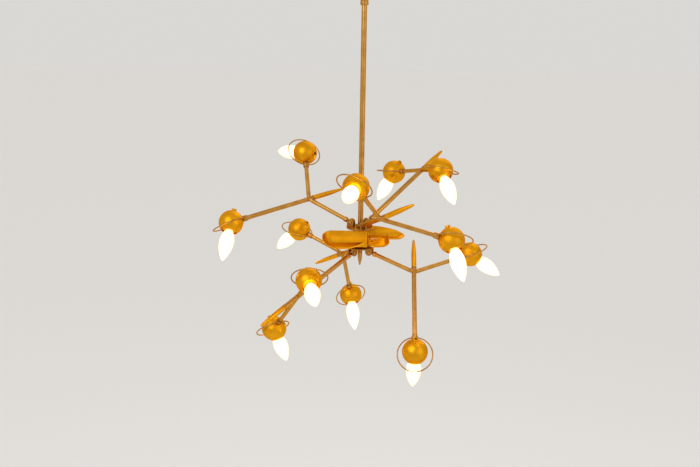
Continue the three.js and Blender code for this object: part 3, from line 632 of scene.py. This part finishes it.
def build_dish(name, azimuth, length, *form):
    """A pressed scoop. Loops drawn in from its outline carry the rim's curve, once for the
    upper face, past the rim's edge, and once for the lower one."""
    bm = bmesh.new()
    below = bm.verts.layers.float.new("below")
    half_length = length / 2
    half_width = DISH_WIDTH / 2
    bmesh.ops.create_grid(bm, x_segments=1, y_segments=1, size=1,
                          matrix=Matrix.Diagonal((half_length, half_width, 1, 1)))
    for radius, far in ((1.2, False), (DISH_END, True)):
        sharp = [v for v in bm.verts if (v.co.x > 0) is far
                 and abs(abs(v.co.x) - half_length) + abs(abs(v.co.y) - half_width) < 0.01]
        bmesh.ops.bevel(bm, geom=sharp, offset=radius, offset_type="OFFSET", segments=12 if far else 2,
                        profile=0.5, affect="VERTICES", material=-1)
    long_edges = [e for e in bm.edges if e.calc_length() > 4]
    bmesh.ops.subdivide_edges(bm, edges=long_edges, cuts=20)
    bmesh.ops.delete(bm, geom=bm.faces[:], context="FACES_ONLY")
    outline = bm.edges[:]
    for side, start in ((0, DISH_WALL), (1, 0.5)):
        edges = outline
        before = 0
        for step in DISH_LOOPS:
            depth = start + step
            made = bmesh.ops.extrude_edge_only(bm, edges=edges)["geom"]
            fresh = {g for g in made if isinstance(g, bmesh.types.BMVert)}
            edges = [e for e in made if isinstance(e, bmesh.types.BMEdge)
                     and e.verts[0] in fresh and e.verts[1] in fresh]
            shrink = Matrix.Diagonal(((half_length - depth) / (half_length - before),
                                      (half_width - depth) / (half_width - before), 1, 1))
            bmesh.ops.transform(bm, matrix=shrink, verts=list(fresh))
            before = depth
            for vert in fresh:
                vert[below] = side
        bmesh.ops.holes_fill(bm, edges=edges, sides=0)
    bmesh.ops.triangulate(bm, faces=[f for f in bm.faces if len(f.verts) > 4])
    for vert in bm.verts:
        x = vert.co.x + half_length + DISH_ROOT
        y = vert.co.y + half_width + DISH_OPENING
        vert.co = (x, y, dish_height(x, y, vert[below], length, *form))
    bmesh.ops.recalc_face_normals(bm, faces=bm.faces)
    turn = HUB @ Matrix.Rotation(math.radians(azimuth), 4, "Z")
    obj = piece(f"{name}_scoop", bm, turn, PRESSED, "root", "golden_brass", name)
    rounded_edges(obj, 0.5)
    spot = turn @ Matrix.Translation(Vector((*DISH_SCREW, DISH_FLOOR)) * 0.001)
    piece(f"{name}_screw", screw_head(3.2, 1.8, 0.8), spot, TURNED, "root", "satin_brass")


# Arms

def build_arm(k):
    body = f"arm_{k}"
    pivot = pivots[k]
    ends = {}
    lines = []
    for side in "ab":
        joint = joints[f"head_{k}{side}_swivel"]
        lines += [Vector(joint["pos_m"]), Vector(joint["axis"]).normalized()]
    junction = crossing(*lines)
    hub_way = (pivot - junction).normalized()
    spike_tip = far_end(f"spike_{k}", junction)
    spike_way = (spike_tip - junction).normalized()
    stub = min((Vector(p) - junction).dot(spike_way) for p in points_of(f"spike_{k}")) * 1000
    ends["hub"] = hub_way * ((pivot - junction).length * 1000 - TUBE_START)
    ends["spike"] = spike_way * (stub + TUBE_IN_SPIKE)
    for side, place, way in (("a", *lines[:2]), ("b", *lines[2:])):
        ends[side] = way * ((place - junction).length * 1000 - BALL + TUBE_IN_BALL)
    others = [e for e in ("a", "b", "spike") if e != HUB_TUBE[k]]
    where = Matrix.Translation(junction)
    solids = []
    for i, pair in enumerate((("hub", HUB_TUBE[k]), others)):
        radius = SPIKE_TUBE if "spike" in pair else PLAIN_TUBE
        start, end = (ends[e] for e in pair)
        nodes = (f"arm_{k}",) if i == 0 else ()
        piece(f"arm_{k}_tube_{'ab'[i]}", tube(start, end, radius), where, DRAWN, body,
              "satin_brass", *nodes)
        turn = (-start).angle(end)
        short = BEND * math.tan(turn / 2) + BRAZE_LENGTH
        solids.append(tube(start.normalized() * short, end.normalized() * short,
                           radius + BRAZE_THICKNESS))
    fillet = piece(f"arm_{k}_braze", joined(*solids), where, BRAZE, body, "satin_brass")
    remesh = fillet.modifiers.new("melt", "REMESH")
    remesh.mode = "VOXEL"
    remesh.voxel_size = 0.0006
    remesh.use_smooth_shade = True
    soften = fillet.modifiers.new("flow", "SMOOTH")
    soften.factor = 0.5
    soften.iterations = 14
    build_knuckle(k, pivot, -hub_way)
    profile = [(0, 0), (5.2, 0), (5.9, 0.7), (5.9, 29), (5.7, 37), (5.3, 45), (4.7, 53), (4.0, 61),
               (3.2, 68), (2.4, 72.3), (1.4, 73.7), (0, SPIKE_LENGTH)]
    base = Matrix.Translation(junction + spike_way * stub * 0.001) @ facing(spike_way)
    piece(f"spike_{k}_point", lathe(eased(profile, 1.5), 40), base, SPUN, body, "golden_brass",
          f"spike_{k}")
    radius = SPIKE_TUBE + 0.7
    collar = lathe(eased([(0, -3.2), (radius, -3.2), (radius, -0.3), (0, -0.3)], 0.5), 40)
    piece(f"spike_{k}_collar", collar, base, TURNED, body, "satin_brass")


def build_knuckle(k, pivot, outward):
    """The tongue in the hub's fork, with the sleeve that the tube starts in, and its screw."""
    axis = Vector(joints[f"arm_{k}_tilt"]["axis"])
    body = f"arm_{k}"
    where = Matrix.Translation(pivot)
    half = TONGUE_THICKNESS / 2
    disc = moved(lathe(eased([(0, -half), (TONGUE, -half), (TONGUE, half), (0, half)], 0.8), 48),
                 facing(axis))
    neck = moved(lathe(eased([(0, 2), (3.9, 2), (3.9, TUBE_START - 2), (6.3, TUBE_START - 1),
                              (6.5, TUBE_START), (6.5, 18), (5.6, 19), (0, 19)], 0.6), 40),
                 facing(outward))
    piece(f"arm_{k}_tongue", joined(disc, neck), where, TURNED, body, "satin_brass")
    for i, way in enumerate((axis, -axis)):
        head = moved(screw_head(4.2, 2.2, 0.9), Matrix.Translation((0, 0, EAR_OUTER)))
        spot = where @ facing(way)
        piece(f"arm_{k}_pin_{'ab'[i]}", head, spot, TURNED, body, "satin_brass")


# Heads

def build_head(k, side):
    body = f"head_{k}{side}"
    tag = f"{k}{side}"
    joint = joints[f"head_{tag}_swivel"]
    centre = Vector(joint["pos_m"])
    out = Vector(joint["axis"]).normalized()
    bulb_way = (far_end(f"bulb_{tag}", centre) - centre).normalized()
    normal = (bulb_way - out * bulb_way.dot(out)).normalized()
    across = normal.cross(out)
    head = Matrix.Translation(centre) @ Matrix((out, across, normal)).transposed().to_4x4()
    bulb = head @ Matrix.Rotation(math.asin(bulb_way.dot(out)), 4, "Y")
    leg = head @ Matrix.Rotation(-math.pi / 2, 4, "Y")

    mouth = math.asin(MOUTH / BALL)
    back = math.pi - math.asin(BACK_COLLAR / BALL)
    lip = [(19.9, 22.9), (19.5, 23.4), (18.9, 23.5), (18.4, 23.1)]
    shell = [(BACK_HOLE, -35), (5.4, -35), (BACK_COLLAR, -34.4), (BACK_COLLAR, -30.2), (6.6, -29.5)]
    shell += sphere_arc(BALL, back - 0.06, mouth + 0.05, 36) + lip
    shell += sphere_arc(BALL - BALL_WALL, mouth + 0.03, math.pi - 0.38, 24) + [(BACK_HOLE, -28)]
    piece(f"ball_{tag}", lathe(shell, 64, closed=True), bulb, SPUN, body, "golden_brass",
          f"globe_{tag}")
    sleeve = [(BACK_HOLE, -27.5), (HOLDER, -26.2), (HOLDER, 14), (HOLDER - 0.8, 15), (HOLDER, 16),
              (HOLDER, 19.2), (HOLDER - 0.8, 20), (7.4, 20), (7.4, -1), (BACK_HOLE, -1)]
    piece(f"lamp_holder_{tag}", lathe(eased(sleeve, 0.4, closed=True), 40, closed=True), bulb, TURNED,
          body, "satin_brass")

    plate = [(HOLDER + 0.3, 19.4), (16.6, 19.4), (16.9, 19.8), (16.9, 20.6), (16.4, 20.8),
             (HOLDER + 0.3, 20.2)]
    piece(f"mouth_plate_{tag}", lathe(eased(plate, 0.3, closed=True), 56, closed=True), bulb, SPUN,
          body, "golden_brass")

    turned, tipped = HOOPS[tag]
    hoop = lathe([(HOOP + WIRE * math.cos(a), WIRE * math.sin(a))
                  for a in (math.tau * i / 14 for i in range(14))], 120, closed=True)
    moved(hoop, Matrix.Rotation(math.radians(-turned), 4, "X")
          @ Matrix.Translation((HOOP_OFFSET - HOOP, 0, 0))
          @ Matrix.Rotation(math.radians(tipped), 4, "Y") @ Matrix.Translation((HOOP, 0, 0)))
    piece(f"hoop_{tag}", hoop, head, HARD_DRAWN, body, "dark_brass", f"ring_{tag}")
    start = math.sqrt(BALL ** 2 - FERRULE_BORE ** 2) + GAP
    ferrule = [(FERRULE_BORE, start), (FERRULE - 0.6, start), (FERRULE, start + 0.6),
               (FERRULE, 38.2), (FERRULE - 0.5, 38.8), (FERRULE - 0.5, 41.2),
               (FERRULE - 1, FERRULE_END), (FERRULE_BORE, FERRULE_END)]
    piece(f"ferrule_{tag}", lathe(eased(ferrule, 0.35, closed=True), 40, closed=True), leg, TURNED,
          body, "satin_brass")

    glass = [(0, 20.4), (8.6, 20.4), (9.4, 20.6), (10.2, 22.5), (11.5, 26), (13.4, 30.5), (15.2, 36),
             (16.7, 42), (17.4, 48), (17.5, 52), (17, 59), (15.6, 67), (13.2, 75.5), (10.2, 83),
             (6.9, 89.5), (3.9, 94.3), (1.6, 97.2), (0, GLASS_TIP)]
    piece(f"glass_{tag}", lathe(eased(glass, 4), 48), bulb, GLASS, body, "frosted_glass",
          f"bulb_{tag}")
    cap = [(0, 1), (2.5, 1), (6.2, 4)]
    for turn in range(6):
        cap += [(6.95, 6 + 2.4 * turn), (6.4, 7.2 + 2.4 * turn)]
    cap += [(7, 21), (7, 20.3), (8.9, 20.3), (8.9, 21.5), (0, 21.5)]
    piece(f"cap_{tag}", lathe(cap, 40), bulb, TURNED, body, "satin_brass")


# Stage, in metres. The floor lies well below, so that the object can be seen from below too.

FLOOR_DROP = 1.9
FLOOR_REACH = 40
CAMERA_PITCH = math.radians(13.3)
CAMERA_ROLL = math.radians(0.9)
CAMERA_PLACE = Vector((-0.025, -2.3, 0.552))  # from the middle of the hub


def build_stage():
    floor_z = cad_low.z - FLOOR_DROP
    bm = bmesh.new()
    bmesh.ops.create_grid(bm, x_segments=1, y_segments=1, size=FLOOR_REACH)
    bmesh.ops.translate(bm, verts=bm.verts, vec=(0, 0, floor_z))
    mesh = bpy.data.meshes.new("floor")
    bm.to_mesh(mesh)
    bm.free()
    mesh.materials.append(painted("pale_floor", "F2F0ED", 0.9))
    floor = bpy.data.objects.new("floor", mesh)
    bpy.context.scene.collection.objects.link(floor)

    world = bpy.data.worlds.new("studio")
    bpy.context.scene.world = world
    world.use_nodes = True
    tree = world.node_tree
    seen_by = add(tree, "ShaderNodeLightPath").outputs
    seen = add(tree, "ShaderNodeMath", {0: seen_by["Is Camera Ray"], 1: seen_by["Is Glossy Ray"]},
               operation="MAXIMUM")
    seen = add(tree, "ShaderNodeMath", {0: seen.outputs[0], 1: seen_by["Is Transmission Ray"]},
               operation="MAXIMUM")
    light = add(tree, "ShaderNodeBackground", {"Color": colour("F6F5F3"), "Strength": 0.86})
    backdrop = add(tree, "ShaderNodeBackground", {"Color": colour("DAD8D5"), "Strength": 1.0})
    both = add(tree, "ShaderNodeMixShader", {
        0: seen.outputs[0], 1: light.outputs[0], 2: backdrop.outputs[0]})
    tree.links.new(both.outputs[0], tree.nodes["World Output"].inputs["Surface"])

    for name, place, size, power in (
            ("key_light", (-1.6, -2.2, 0.9), 2.4, 28),
            ("fill_light", (2.2, -1.8, -0.2), 2.4, 9),
            ("back_light", (1.2, 2.2, 1.2), 3.0, 14)):
        lamp = bpy.data.lights.new(name, "AREA")
        lamp.size = size
        lamp.energy = power
        obj = bpy.data.objects.new(name, lamp)
        obj.location = place
        aim = Vector((0, 0, hub_middle)) - Vector(place)
        obj.rotation_euler = aim.to_track_quat("-Z", "Y").to_euler()
        bpy.context.scene.collection.objects.link(obj)


def build_camera():
    """The photograph's view: a little above the arms, tipped down and turned very slightly."""
    ahead = Vector((0, math.cos(CAMERA_PITCH), -math.sin(CAMERA_PITCH)))
    level_right = Vector((1, 0, 0))
    level_up = Vector((0, math.sin(CAMERA_PITCH), math.cos(CAMERA_PITCH)))
    right = level_right * math.cos(CAMERA_ROLL) + level_up * math.sin(CAMERA_ROLL)
    up = level_up * math.cos(CAMERA_ROLL) - level_right * math.sin(CAMERA_ROLL)
    data = bpy.data.cameras.new("camera")
    data.lens = 50
    data.sensor_width = 36
    camera = bpy.data.objects.new("camera", data)
    turn = Matrix((right, up, -ahead)).transposed().to_4x4()
    camera.matrix_world = HUB @ Matrix.Translation(CAMERA_PLACE) @ turn
    bpy.context.scene.collection.objects.link(camera)
    bpy.context.scene.camera = camera


build_camera()
build_drop()
build_hub_half("upper_hub_casting", "upper_hub", [(BORE, -10.8), (HUB_BOSS, -10.8)],
               HUB @ Matrix.Rotation(math.radians(UPPER_FORK), 4, "Z"))
build_hub_half("lower_hub_casting", "lower_hub",
               [(BORE, 11.1), (CLAMP, 11.1), (CLAMP, 14.1), (14, 14.1), (HUB_BOSS, 16)],
               HUB @ Matrix.Rotation(math.pi, 4, "X") @ Matrix.Rotation(-math.radians(LOWER_FORK), 4, "Z"))
for dish, values in DISHES.items():
    build_dish(dish, *values)
for number in range(1, 7):
    build_arm(number)
    for end in "ab":
        build_head(number, end)
build_stage()

bpy.context.scene.view_settings.view_transform = "Standard"
